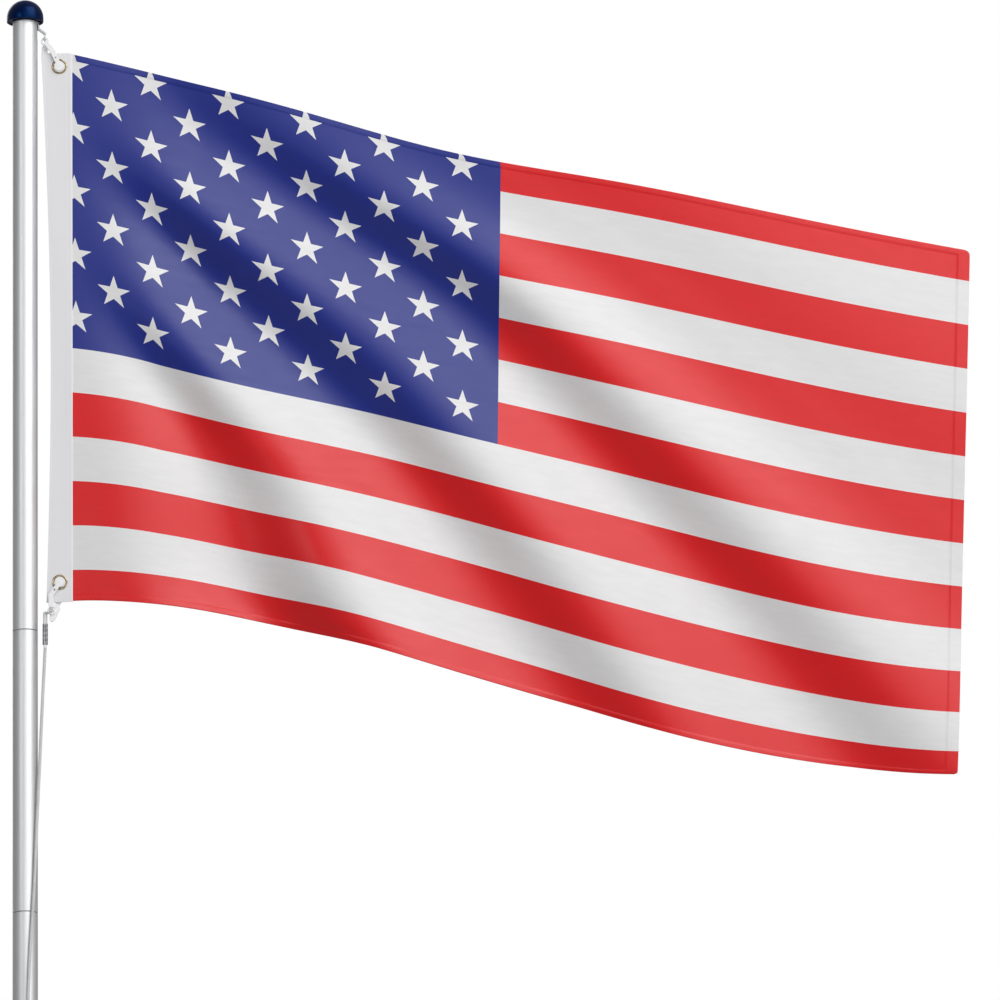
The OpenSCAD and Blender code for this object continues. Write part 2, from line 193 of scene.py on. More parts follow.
def makeWorld(fill, sheen):
    world = bpy.data.worlds.new("studio")
    world.use_nodes = True
    bpy.context.scene.world = world
    nodes, links = world.node_tree.nodes, world.node_tree.links
    nodes.clear()
    rays = nodes.new("ShaderNodeLightPath")
    seen = nodes.new("ShaderNodeMix")  # strength for reflections, or for plain light
    seen.inputs[2].default_value, seen.inputs[3].default_value = fill, sheen
    links.new(rays.outputs["Is Glossy Ray"], seen.inputs[0])
    plain = nodes.new("ShaderNodeMix")
    plain.inputs[3].default_value = 1.0
    links.new(rays.outputs["Is Camera Ray"], plain.inputs[0])
    links.new(seen.outputs[0], plain.inputs[2])
    background = nodes.new("ShaderNodeBackground")
    background.inputs[0].default_value = (1, 1, 1, 1)
    links.new(plain.outputs[0], background.inputs[1])
    output = nodes.new("ShaderNodeOutputWorld")
    links.new(background.outputs[0], output.inputs[0])


def makeLamp(name, turn, height, away, wide, tall, power):
    aim = Vector((0.7, 0, topZ - 0.8))  # about the flag's middle
    a, e = math.radians(turn), math.radians(height)
    back = Vector((math.sin(a) * math.cos(e), -math.cos(a) * math.cos(e), math.sin(e)))
    data = bpy.data.lights.new(name, "AREA")
    data.shape, data.size, data.size_y, data.energy = "RECTANGLE", wide, tall, power
    lamp = bpy.data.objects.new(name, data)
    lamp.matrix_world = Matrix.Translation(aim + back * away) @ back.to_track_quat("Z", "Y").to_matrix().to_4x4()
    lamp.visible_camera = False
    bpy.context.scene.collection.objects.link(lamp)


makeFloor(studio["floorHalf"], studio["floorColour"])
makeWorld(studio["fill"], studio["sheenOfRoom"])
for lampName in ("key", "panel", "side", "back"):
    makeLamp(lampName, **studio[lampName])
bpy.context.scene.view_settings.view_transform = "Standard"
print("stage: floor, world and lamps")


# ---- finishes ----

# Anodised tube: fine drawing lines along its length over faint cloudy patches
def makeAluminium():
    material, shader = newMaterial("satinAluminium", Metallic=0.86)
    streaks = noise(material, objectCoords(material, (700, 700, 5)), 1.0, 4, 0.6)
    patches = noise(material, objectCoords(material, (1, 1, 0.35)), 14.0, 4, 0.6)
    rough = calc(material, "ADD",
                 remap(material, streaks, 0.3, 0.7, 0.44, 0.51),
                 remap(material, patches, 0.3, 0.7, -0.03, 0.04))
    wire(material, rough, shader, "Roughness")
    tone = calc(material, "ADD", calc(material, "MULTIPLY", streaks, 0.6), calc(material, "MULTIPLY", patches, 0.4))
    colour = mixColour(material, remap(material, tone, 0.35, 0.65, 0, 1), (0.74, 0.75, 0.765, 1), (0.81, 0.82, 0.83, 1))
    wire(material, colour, shader, "Base Color")
    bump(material, shader, streaks, 0.00002, 0.2)
    return material


def makePlastic(name, colour, roughness, grain, worn=0.82, depth=0.00006):
    material, shader = newMaterial(name)
    fine = noise(material, objectCoords(material), grain, 3)
    broad = noise(material, objectCoords(material), 60, 3)
    wire(material, remap(material, broad, 0.3, 0.7, roughness * 0.85, roughness * 1.2), shader, "Roughness")
    darker = tuple(c * worn for c in colour[:3]) + (1,)
    wire(material, mixColour(material, remap(material, broad, 0.35, 0.75, 0, 1), colour, darker), shader, "Base Color")
    bump(material, shader, fine, depth, 0.25)
    return material


def makeMetal(name, bright, dull, smooth, rough, grainScale, stainSize):
    material, shader = newMaterial(name, Metallic=1.0)
    grain = noise(material, objectCoords(material, (1, 1, 0.15)), grainScale, 2)
    stains = noise(material, objectCoords(material), stainSize, 4)
    wire(material, remap(material, stains, 0.3, 0.7, smooth, rough), shader, "Roughness")
    wire(material, mixColour(material, remap(material, stains, 0.4, 0.72, 0, 1), bright, dull), shader, "Base Color")
    bump(material, shader, grain, 0.00003, 0.3)
    return material


# Braided cord: strands cross in both directions round it, with painted shade in the grooves between them; u runs along
# it in metres and v once round it
def makeBraid(name, light, grooveShade, strands, pitch, depth):
    material, shader = newMaterial(name, Roughness=0.72)
    shader.inputs["Sheen Weight"].default_value = 0.12
    u, v = uvPlace(material)[1:]
    along = calc(material, "MULTIPLY", u, math.pi / pitch)
    around = calc(material, "MULTIPLY", v, math.pi * strands)
    left = calc(material, "ABSOLUTE", calc(material, "SINE", calc(material, "ADD", along, around)))
    right = calc(material, "ABSOLUTE", calc(material, "SINE", calc(material, "SUBTRACT", along, around)))
    weave = calc(material, "SQRT", calc(material, "MULTIPLY", left, right))
    fibres = noise(material, objectCoords(material), 4200, 2)
    soiled = noise(material, objectCoords(material), 26, 4, 0.6)
    # painted shade: the cord's colour darkens towards the groove-shade colour between strands, and soiled patches
    # darken it at random
    tone = calc(material, "MULTIPLY",
                remap(material, weave, 0.0, 0.55, 0, 1),
                remap(material, soiled, 0.35, 0.7, 1.0, 0.72))
    wire(material, mixColour(material, tone, grooveShade, light), shader, "Base Color")
    bump(material, shader, calc(material, "ADD", weave, calc(material, "MULTIPLY", fibres, 0.25)), depth, 0.8)
    return material


# Heavy twill tape with rows of stitching; u runs from its sewn edge in metres and v along it
def makeTape(rows):
    material, shader = newMaterial("twillTape", Roughness=0.78)
    shader.inputs["Sheen Weight"].default_value = 0.10
    place, u, v = uvPlace(material)
    pitchU, pitchV, highlightWidth = 0.0012, 0.0010, 0.0014
    slant = calc(material, "ADD",
                 calc(material, "MULTIPLY", u, 2 * math.pi / pitchU),
                 calc(material, "MULTIPLY", v, 2 * math.pi / pitchV))
    twill = calc(material, "ABSOLUTE", calc(material, "SINE", slant))
    yarn = uvNoise(material, place, (2600, 500, 1), 3)
    puckers = uvNoise(material, place, (30, 110, 1), 3)
    stitch = stitchRows(material, u, v, rows, 0.0032)
    woven = calc(material, "MULTIPLY", twill, yarn)
    cloth = mixColour(material, woven, (0.72, 0.715, 0.735, 1), (0.80, 0.795, 0.815, 1))
    # painted highlight: a bright band along the sewn edge, where the light catches it; the stitch thread is whiter in
    # its own right
    paintedEdgeHighlight = calc(material, "LESS_THAN", u, highlightWidth)
    bright = calc(material, "MAXIMUM", stitch, paintedEdgeHighlight)
    wire(material, mixColour(material, bright, cloth, (0.86, 0.86, 0.87, 1)), shader, "Base Color")
    height = calc(material, "ADD", calc(material, "MULTIPLY", twill, 0.5), calc(material, "MULTIPLY", stitch, 2.2))
    height = calc(material, "ADD", height, calc(material, "MULTIPLY", puckers, 2.0))
    bump(material, shader, height, 0.00010, 0.4)
    return material


# 1 on the thread of lockstitch rows that run along v, each at its own u
def stitchRows(material, u, v, rows, pitch, width=0.00055):
    beat = calc(material, "FRACT", calc(material, "DIVIDE", v, pitch))
    dash = calc(material, "LESS_THAN", calc(material, "ABSOLUTE", calc(material, "SUBTRACT", beat, 0.5)), 0.36)
    found = 0.0
    for row in rows:
        near = calc(material, "LESS_THAN", calc(material, "ABSOLUTE", calc(material, "SUBTRACT", u, row)), width / 2)
        found = calc(material, "MAXIMUM", near, found)
    return calc(material, "MULTIPLY", found, dash)


aluminium = makeAluminium()
capPlastic = makePlastic("navyCapPlastic", (0.0008, 0.0040, 0.036, 1), 0.30, 900, 0.7)
capShader = capPlastic.node_tree.nodes["Principled BSDF"]
capShader.inputs["Specular Tint"].default_value = (0.05, 0.30, 1.0, 1)
capShader.inputs["Specular IOR Level"].default_value = 0.42
darkPlastic = makePlastic("blackPlastic", (0.022, 0.022, 0.024, 1), 0.5, 1500, 0.7)
whitePlastic = makePlastic("whiteNylon", (0.87, 0.87, 0.88, 1), 0.34, 1200, 0.95)
steel = makeMetal("brushedSteel", (0.52, 0.52, 0.53, 1), (0.34, 0.34, 0.35, 1), 0.26, 0.42, 2500, 220)
brass = makeMetal("rolledBrass", (0.46, 0.39, 0.25, 1), (0.20, 0.16, 0.085, 1), 0.14, 0.30, 1800, 260)
crimpSteel = makeMetal("crimpedSteel", (0.27, 0.27, 0.28, 1), (0.15, 0.15, 0.16, 1), 0.30, 0.45, 2200, 200)
# painted shade: the couplers show only in the gaps between sections, so their metal is made dark to stand for the shade
# in those gaps
gapShadeMetal = makeMetal("sleeveAluminium", (0.16, 0.16, 0.17, 1), (0.10, 0.10, 0.11, 1), 0.5, 0.6, 900, 90)
rope = makeBraid("braidedPolyester", (0.74, 0.745, 0.75, 1), (0.30, 0.30, 0.31, 1), 8, 0.0034, 0.00035)
thinCord = makeBraid("braidedCord", (0.74, 0.745, 0.75, 1), (0.32, 0.32, 0.33, 1), 6, 0.0018, 0.0002)
tape = makeTape((0.0025, 0.0085, 0.0385))

finishes = {
    "tube": aluminium, "cap": capPlastic, "dark_plastic": darkPlastic, "white_plastic": whitePlastic,
    "steel": steel, "brass": brass, "rope": rope, "heading": tape, "cloth": tape,
}
slotOf = {part["node"]: part["material_slot"] for part in frame["record"]["subparts"]}
for nodeName, node in frame["nodes"].items():
    node.data.materials.clear()
    # couplers take the dark metal of the painted gap shade
    node.data.materials.append(gapShadeMetal if nodeName.startswith("coupler") else finishes[slotOf[nodeName]])
print("stage: finishes")


# ---- helpers for pieces ----

def finishMesh(name, bm, material, body, slot, *replaced, normals=True, crisp=32.0):
    if normals:
        bmesh.ops.recalc_face_normals(bm, faces=bm.faces)
    for face in bm.faces:
        face.smooth = True
    mesh = bpy.data.meshes.new(name)
    bm.to_mesh(mesh)
    bm.free()
    mesh.set_sharp_from_angle(angle=math.radians(crisp))
    piece = bpy.data.objects.new(name, mesh)
    bpy.context.scene.collection.objects.link(piece)
    mesh.materials.append(material)
    if body:
        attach(piece, body)
    if replaced:
        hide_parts(*replaced)
    return piece


# Turns an outline of (radius, height) points about Z, into a closed skin
def turned(outline, steps=96, ring=True):
    bm = bmesh.new()
    verts = [bm.verts.new((r, 0, z)) for r, z in outline]
    for a, b in zip(verts, verts[1:] + (verts[:1] if ring else [])):
        bm.edges.new((a, b))
    bmesh.ops.spin(bm, geom=bm.verts[:] + bm.edges[:], cent=(0, 0, 0), axis=(0, 0, 1),
                   angle=2 * math.pi, steps=steps, use_merge=True)
    bmesh.ops.remove_doubles(bm, verts=bm.verts, dist=1e-6)
    bmesh.ops.recalc_face_normals(bm, faces=bm.faces)
    return bm


def soften(bm, width, segments=3, angle=35.0):
    corners = [e for e in bm.edges if len(e.link_faces) == 2 and e.calc_face_angle() > math.radians(angle)]
    bmesh.ops.bevel(bm, geom=corners, offset=width, offset_type="OFFSET", segments=segments, profile=0.5,
                    affect="EDGES", clamp_overlap=True, material=-1)


def moved(bm, matrix):
    bmesh.ops.transform(bm, matrix=matrix, verts=bm.verts)
    return bm


# A unit block put in its place, turned and sized by a matrix
def block(matrix):
    bm = bmesh.new()
    bmesh.ops.create_cube(bm, size=1)
    return moved(bm, matrix)


zToFront = Matrix.Rotation(math.pi / 2, 4, "X")  # turns +Z to -Y


# A plate with round ends: width across X, height along Z, its depth from y0 to y1
def roundEnded(width, height, y0, y1, segments=32):
    bm = bmesh.new()
    bmesh.ops.create_circle(bm, cap_ends=True, segments=segments, radius=width / 2)
    bmesh.ops.rotate(bm, verts=bm.verts, cent=(0, 0, 0), matrix=Matrix.Rotation(math.pi / segments, 3, "Z"))
    for side in (1, -1):
        half = [v for v in bm.verts if v.co.y * side > 0]
        bmesh.ops.translate(bm, verts=half, vec=(0, side * (height - width) / 2, 0))
    out = bmesh.ops.extrude_face_region(bm, geom=bm.faces[:])
    tops = [v for v in out["geom"] if isinstance(v, bmesh.types.BMVert)]
    bmesh.ops.translate(bm, verts=tops, vec=(0, 0, y1 - y0))
    bmesh.ops.recalc_face_normals(bm, faces=bm.faces)
    return moved(bm, Matrix.Translation((0, y1, 0)) @ zToFront)


# Replaces a piece's mesh by what its modifiers make of it
def settle(piece):
    graph = bpy.context.evaluated_depsgraph_get()
    mesh = bpy.data.meshes.new_from_object(piece.evaluated_get(graph))
    piece.modifiers.clear()
    piece.data = mesh
    return piece


def shapedBy(piece, operation, *cutters):
    helpers = []
    for bm in cutters:
        mesh = bpy.data.meshes.new("cutter")
        bm.to_mesh(mesh)
        bm.free()
        helper = bpy.data.objects.new("cutter", mesh)
        bpy.context.scene.collection.objects.link(helper)
        helpers.append(helper)
        change = piece.modifiers.new("shape", "BOOLEAN")
        change.operation, change.solver, change.object = operation, "EXACT", helper
    settle(piece)
    for helper in helpers:
        bpy.data.objects.remove(helper)
    piece.data.set_sharp_from_angle(angle=math.radians(32))
    return piece


# A grid of the given lines, each crossing put in its place by the function, with u and v in its UV map
def surface(uLines, vLines, place, uvOf):
    bm = bmesh.new()
    across, along = len(uLines) - 1, len(vLines) - 1
    bmesh.ops.create_grid(bm, x_segments=across, y_segments=along, size=0.5)
    uv = bm.loops.layers.uv.new("UVMap")
    spot = {}
    for vert in bm.verts:
        i, j = round((vert.co.x + 0.5) * across), round((vert.co.y + 0.5) * along)
        spot[vert] = (uLines[i], vLines[j])
    for face in bm.faces:
        for loop in face.loops:
            u, v = spot[loop.vert]
            loop[uv].uv = uvOf(u, v)
    for vert, (u, v) in spot.items():
        vert.co = place(u, v)
    return bm


def lines(start, end, count, extra=()):
    return sorted([start + (end - start) * i / count for i in range(count + 1)] + list(extra))


# A smooth curve through a few points, as many short steps; uneven spans don't make it swing out
def smoothPath(points, step):
    points = [Vector(p) for p in points]
    ends = [points[0] * 2 - points[1]] + points + [points[-1] * 2 - points[-2]]
    path = []
    for a, b, c, d in zip(ends, ends[1:], ends[2:], ends[3:]):
        span = (c - b).length
        leave = (c - a) * (span / (span + (b - a).length))
        arrive = (d - b) * (span / (span + (d - c).length))
        count = max(1, math.ceil(span / step))
        for i in range(count):
            t = i / count
            path.append(b * (2 * t ** 3 - 3 * t ** 2 + 1) + c * (3 * t ** 2 - 2 * t ** 3)
                        + leave * (t ** 3 - 2 * t ** 2 + t) + arrive * (t ** 3 - t ** 2))
    return path + [points[-1]]


# A round cord along a path, with u along it in metres and v once round it
def cordSkin(path, radius, sides=14):
    run, ahead, across = [0.0], [], []
    for a, b in zip(path, path[1:]):
        run.append(run[-1] + (b - a).length)
    for i in range(len(path)):
        ahead.append((path[min(i + 1, len(path) - 1)] - path[max(i - 1, 0)]).normalized())
    first = ahead[0].cross(Vector((0.3, 0.9, 0.1))).normalized()
    for i, way in enumerate(ahead):
        before = across[-1] if across else first
        across.append((before - way * before.dot(way)).normalized())

    def place(i, v):
        turn = 2 * math.pi * v
        return path[i] + radius * (math.cos(turn) * across[i] + math.sin(turn) * ahead[i].cross(across[i]))

    bm = surface(list(range(len(path))), [k / sides for k in range(sides + 1)], place, lambda i, v: (run[i], v))
    bmesh.ops.remove_doubles(bm, verts=bm.verts, dist=1e-6)
    bmesh.ops.holes_fill(bm, edges=[e for e in bm.edges if e.is_boundary], sides=0)
    return bm


def onPole(azimuth, gap, z):
    a = math.radians(azimuth)
    return Vector(((tubeR + gap) * math.cos(a), (tubeR + gap) * math.sin(a), z))


# A soft-edged copy of a CAD node with what is added to it, as moulded plastic comes out of its tool
def moulded(name, source, material, body, slot, grain, rounds, shape=None, added=()):
    bm = bmesh.new()
    bm.from_mesh(frame["nodes"][source].data)
    bmesh.ops.remove_doubles(bm, verts=bm.verts, dist=1e-6)
    piece = finishMesh(name, bm, material, body, slot, source)
    if added:
        shapedBy(piece, "UNION", *added)
    cells = piece.modifiers.new("cells", "REMESH")
    cells.mode, cells.voxel_size, cells.use_smooth_shade = "VOXEL", grain, True
    relax = piece.modifiers.new("soften", "SMOOTH")
    relax.iterations, relax.factor = rounds, 0.5
    settle(piece)
    for vert in piece.data.vertices:
        vert.co = shape(vert.co) if shape else vert.co
    piece.data.materials.clear()
    piece.data.materials.append(material)
    return piece


# ---- pole ----

pole = {
    "edge": 0.0005, "slotWide": 0.009, "slotDrop": 0.028,
    "exitTurn": -115.0, "exitZ": 1.452, "exitWide": 0.0097, "exitTall": 0.0382,
}


def makeSection(number):
    z0, z1 = (corner[2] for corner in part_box("pole_section_%d" % number))
    e = pole["edge"]
    bm = turned([(boreR, z0), (tubeR - e, z0), (tubeR, z0 + e), (tubeR, z1 - e), (tubeR - e, z1), (boreR, z1)], 120)
    return finishMesh("poleSection%d" % number, bm, aluminium, "pole", "tube", "pole_section_%d" % number)


tubes = {number: makeSection(number) for number in range(1, 7)}
exitCut = roundEnded(pole["exitWide"], pole["exitTall"], -0.022, -0.001)
turnToExit = Matrix.Rotation(math.radians(pole["exitTurn"] + 90), 4, "Z")
shapedBy(tubes[2], "DIFFERENCE", moved(exitCut, Matrix.Translation((0, 0, pole["exitZ"])) @ turnToExit))
slotSize = Matrix.Diagonal((0.03, pole["slotWide"], 2 * pole["slotDrop"], 1))
shapedBy(tubes[6], "DIFFERENCE", block(Matrix.Translation((0.015, 0, topZ)) @ slotSize))
print("stage: pole sections")

collar = {"height": 0.014, "outer": 0.026, "inner": 0.0203}


def makeCollar():
    o, i, h = collar["outer"], collar["inner"], collar["height"]
    outline = [(i, 0), (o, 0), (o, 0.004), (o - 0.0012, 0.0046), (o - 0.0012, 0.0062), (o, 0.0068),
               (o - 0.0004, 0.0098), (o - 0.0022, h - 0.0008), (i + 0.0016, h), (i, h - 0.0012)]
    bm = turned(outline, 120)
    soften(bm, 0.0005, 2, 25)
    return finishMesh("groundCollar", bm, darkPlastic, "pole", "dark_plastic", "ground_collar")


def makeFootPlug():
    outline = [(0, 0.0), (0.0125, 0.0), (0.0130, 0.0008), (0.0150, 0.0008), (0.0155, 0.0), (0.0195, 0.0),
               (0.020, 0.0005), (0.020, 0.003), (0.01845, 0.003), (0.01845, 0.0235), (0.0172, 0.025), (0, 0.025)]
    bm = turned(outline, 96, ring=False)
    return finishMesh("footPlug", bm, darkPlastic, "pole", "dark_plastic", "foot_plug")


makeCollar()
makeFootPlug()
print("stage: ground collar and foot plug")

dome = {
    "radius": 0.0295, "rim": 0.007, "lip": 0.0012, "recess": 0.0016, "wall": 0.003,
    "neck": 0.0183, "neckLong": 0.040, "hollowFrom": 0.0042,
    "slotX": (-0.0065, 0.0270), "slotTall": 0.047, "slotMiddle": 0.0185,
}


# Points on a quarter circle above the tube's top, from near the axis down to the rim
def domeArc(radius, first, step):
    angles = [math.radians(a) for a in range(first, 0, -step)]
    return [(radius * math.cos(a), topZ + dome["rim"] + radius * math.sin(a)) for a in angles]


def makeCap():
    r, rim, lip, recess, wall = (dome[key] for key in ("radius", "rim", "lip", "recess", "wall"))
    inner, neck, foot = r - wall, dome["neck"], topZ - dome["neckLong"]
    outline = [(0, topZ + rim + r)] + domeArc(r, 87, 3) + [(r, topZ + rim), (r, topZ + lip * 1.6)]
    outline += [(r - lip + lip * math.sin(a), topZ + lip - lip * math.cos(a)) for a in (1.2, 0.8, 0.4)]
    outline += [(r - lip, topZ), (r - wall + 0.0006, topZ), (r - wall, topZ + recess), (neck, topZ + recess)]
    outline += [(neck, foot + 0.0005), (neck - 0.0005, foot), (0, foot)]
    piece = finishMesh("domeCap", turned(outline, 128, ring=False), capPlastic, "pole", "cap", "top_cap")
    hollow = [(0, topZ + rim + inner)] + domeArc(inner, 84, 6)
    hollow += [(inner, topZ + rim), (inner, topZ + dome["hollowFrom"]), (0, topZ + dome["hollowFrom"])]
    x0, x1 = dome["slotX"]
    size = Matrix.Diagonal((x1 - x0, pole["slotWide"], dome["slotTall"], 1))
    cut = block(Matrix.Translation(((x0 + x1) / 2, 0, topZ - dome["slotMiddle"])) @ size)
    return shapedBy(piece, "DIFFERENCE", turned(hollow, 64, ring=False), cut)


makeCap()
print("stage: cap")

wheel = {"x": 0.009, "belowTop": 0.008, "radius": 0.012, "half": 0.004, "groove": 0.003, "axle": 0.0025}


def makeSheave():
    r, half, deep, axle = wheel["radius"], wheel["half"], wheel["groove"], wheel["axle"]
    cheek = [(axle + 0.00005, half), (axle + 0.0022, half), (axle + 0.0026, half - 0.0006),
             (r - 0.0022, half - 0.0006), (r - 0.0018, half), (r - 0.0003, half), (r, half - 0.0003)]
    angles = [math.radians(a) for a in range(-80, 81, 16)]
    outline = [(away, -z) for away, z in cheek]
    outline += [(r - deep * math.cos(a), (half - 0.0005) * math.sin(a)) for a in angles]
    outline += reversed(cheek)
    place = Matrix.Translation((wheel["x"], 0, topZ - wheel["belowTop"])) @ zToFront
    bm = moved(turned(outline, 72), place)
    return finishMesh("pulleyWheel", bm, darkPlastic, "pole", "dark_plastic", "pulley_sheave")


makeSheave()
print("stage: pulley")


# ---- halyard ----

halyard = {"radius": 0.0025, "wrap": 0.0119, "cleatZ": 1.250, "hitchTop": 1.2724, "tailDrop": 0.057}
clip = {
    "long": 0.049, "upperTurn": -61.0, "lowerTurn": 74.0, "eyeDrop": 0.0321, "eyeGap": 0.0004,
    "padInner": 0.0086, "padOuter": 0.0080, "padThick": 0.0034, "padY": -0.0041,
    "tongueWide": 0.0115, "tongueLong": 0.0290, "tongueThick": 0.0032, "tongueX": -0.0015, "tongueZ": -0.0036,
    "thinning": 0.5, "thinOver": 0.0150, "fuller": 0.28, "fullTo": 0.007, "fullOver": 0.008,
}
loop = {"rise": 0.0049, "radius": 0.0045, "thick": 0.0015, "ropeEnd": 0.0112}
link = {"x": 0.005, "z": 0.0015, "radius": 0.005, "thick": 0.001, "lean": 20.0, "roll": 25.0}
flagHeight, topInset, bottomInset = 0.900, 0.0204, 0.0304  # the insets are from the cloth's edges to the grommets
upperEye = Vector((lineX - clip["eyeGap"], 0, topZ - clip["eyeDrop"]))
grommetX = upperEye.x + clip["long"] * math.cos(math.radians(clip["upperTurn"]))
upperGrommetZ = upperEye.z + clip["long"] * math.sin(math.radians(clip["upperTurn"]))
lowerGrommetZ = upperGrommetZ + topInset - flagHeight + bottomInset
lowerEye = Vector((grommetX - clip["long"] * math.cos(math.radians(clip["lowerTurn"])), 0,
                   lowerGrommetZ - clip["long"] * math.sin(math.radians(clip["lowerTurn"]))))
bight = Vector((lowerEye.x - link["x"] - link["radius"] * math.cos(math.radians(link["lean"])), lineY,
                lowerEye.z - link["z"] - link["radius"] * math.sin(math.radians(link["lean"]))))
ropeEndZ = bight.z - halyard["tailDrop"]


def makeReturnRope():
    x, z, wrap = wheel["x"], topZ - wheel["belowTop"], halyard["wrap"]
    exitTurn, exitZ, cleatZ, side = pole["exitTurn"], pole["exitZ"], halyard["cleatZ"], -97.5
    angles = [math.radians(a) for a in range(0, 181, 20)]
    points = [Vector((x + wrap, 0, z - 0.001))]
    points += [Vector((x + wrap * math.cos(a), 0, z + wrap * math.sin(a))) for a in angles]
    points += [Vector((x - wrap, 0, height)) for height in (topZ - 0.04, topZ - 0.10, 3.5, 2.0, exitZ + 0.16)]
    points += [onPole(exitTurn, gap, exitZ + up)
               for gap, up in ((-0.0195, 0.080), (-0.0124, 0.033), (-0.002, 0.008), (0.005, -0.018))]
    points += [onPole(-109, 0.006, cleatZ + 0.140), onPole(side, 0.0085, cleatZ + 0.060),
               onPole(side, 0.0085, halyard["hitchTop"])]
    path = smoothPath(points, 0.004)
    bm = cordSkin(path, halyard["radius"], 12)
    return finishMesh("halyardReturn", bm, rope, "pole", "rope", "halyard_return", crisp=60)


def makeLowerRope():
    cleatZ, side, gap = halyard["cleatZ"], -81, 0.0032
    # it winds from the clip's side of the tube to the cleat's: azimuth, gap and distance below the top
    winding = ((-14, 0.0086, 1.117), (-25.5, 0.0061, 1.215), (-38, 0.0044, 1.314), (-50, 0.0035, 1.413),
               (-59, gap, 1.466), (-73, gap, 1.560), (side, gap, 1.700))
    points = [onPole(-6, 0.012, ropeEndZ)] + [onPole(azimuth, away, topZ - down) for azimuth, away, down in winding]
    points += [onPole(side, gap, 3.0), onPole(side, gap, cleatZ + 0.700), onPole(side, 0.004, cleatZ + 0.180),
               onPole(-82.5, 0.0085, cleatZ + 0.060), onPole(-82.5, 0.0085, halyard["hitchTop"])]
    bm = cordSkin(smoothPath(points, 0.004), halyard["radius"], 14)
    piece = finishMesh("halyardLower", bm, rope, "pole", "rope", "halyard_lower", crisp=60)
    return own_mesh(piece)


def makeUpperRope():
    x = wheel["x"] + halyard["wrap"]
    endZ = upperEye.z + loop["ropeEnd"]
    start, finish = Vector((x, 0, topZ - 0.0091)), Vector((lineX, lineY, endZ))
    leaving, arriving = Vector((x + 0.0002, 0, topZ - 0.0105)), Vector((lineX - 0.0004, lineY, endZ + 0.0014))
    bm = cordSkin(smoothPath([start, leaving, arriving, finish], 0.0002), halyard["radius"], 14)
    piece = finishMesh("halyardUpper", bm, rope, None, "rope", "halyard_upper", crisp=60)
    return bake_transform(piece)


# A figure of eight round the cleat's two legs
def makeHitch():
    z = halyard["cleatZ"]
    turns = [(3.72, -28.3, 22.4), (6.6, -27.6, 17.5), (7.6, -26.6, 12), (5.6, -26.0, 6.4), (0.2, -25.9, 0),
             (-5.6, -26.0, -6.4), (-7.7, -26.3, -12), (-5.5, -26.8, -17.4), (0, -27.3, -19.7), (5.5, -27.8, -17.4),
             (7.7, -28.3, -12), (5.6, -28.9, -6.4), (0.2, -29.2, 0), (-5.6, -28.9, 6.4), (-7.6, -28.6, 12),
             (-6.6, -28.4, 17.5), (-3.72, -28.3, 22.4)]
    path = smoothPath([Vector((a * mm, b * mm, z + c * mm)) for a, b, c in turns], 0.0012)
    bm = cordSkin(path, halyard["radius"], 14)
    return finishMesh("cleatHitch", bm, rope, "pole", "rope", "halyard_hitch", crisp=60)


makeReturnRope()
makeLowerRope()
makeUpperRope()
makeHitch()
print("stage: halyard")


# ---- cleat, bush and screws ----

cleat = {
    "z": halyard["cleatZ"], "rodY": -0.036, "rodFrom": -0.0312, "legs": 0.014, "half": 0.055, "taper": 0.26,
    "screwY": -0.02305, "screwZ": 0.030,
}


# The horns thin towards their tips
def taperHorns(spot):
    away = abs(spot.z - cleat["z"]) - cleat["legs"]
    if spot.y > cleat["rodFrom"] or away < 0:
        return spot
    keep = 1 - cleat["taper"] * away / (cleat["half"] - cleat["legs"])
    return Vector((spot.x * keep, cleat["rodY"] + (spot.y - cleat["rodY"]) * keep, spot.z))


def makeScrew(side, node):
    outline = [(0, 0.0020), (0.0012, 0.00195), (0.0024, 0.0017), (0.0034, 0.0010), (0.0040, 0.0003),
               (0.0040, 0.00005), (0.0020, 0.00005), (0.0020, -0.0088), (0.0010, -0.0098), (0, -0.010)]
    place = Matrix.Translation((0, cleat["screwY"], cleat["z"] + side * cleat["screwZ"])) @ zToFront
    name = "cleatScrew" + ("Upper" if side > 0 else "Lower")
    piece = finishMesh(name, moved(turned(outline, 48, ring=False), place), steel, "pole", "steel", node)
    cuts = []
    for turn in (25, 115):
        sized = Matrix.Rotation(math.radians(turn), 4, "Z") @ Matrix.Diagonal((0.0044, 0.0008, 0.0026, 1))
        cuts.append(block(place @ Matrix.Translation((0, 0, 0.0022)) @ sized))
    return shapedBy(piece, "DIFFERENCE", *cuts)


moulded("hornCleat", "cleat_body", darkPlastic, "pole", "dark_plastic", 0.0006, 3, taperHorns)
moulded("ropeExitBush", "rope_exit_bush", darkPlastic, "pole", "dark_plastic", 0.00035, 2)
makeScrew(1, "cleat_screw_upper")
makeScrew(-1, "cleat_screw_lower")
print("stage: cleat, bush and screws")


# ---- clips, link, loops and ferrule ----

# Places a shape drawn along a clip: its eye at the origin, its arms along X
def atClip(bm, eye, turn):
    return moved(bm, Matrix.Translation((eye.x, lineY, eye.z)) @ Matrix.Rotation(math.radians(-turn), 4, "Y"))


# The round pad on the end of a clip's front arm, which fills most of the grommet's hole
def padFor(eye, turn):
    bm = bmesh.new()
    bmesh.ops.create_cone(bm, cap_ends=True, segments=64, radius1=clip["padInner"], radius2=clip["padOuter"],
                          depth=clip["padThick"])
    bmesh.ops.rotate(bm, verts=bm.verts, cent=(0, 0, 0), matrix=Matrix.Rotation(math.pi / 2, 3, "X"))
    bmesh.ops.translate(bm, verts=bm.verts, vec=(clip["long"], clip["padY"], 0))
    return atClip(bm, eye, turn)


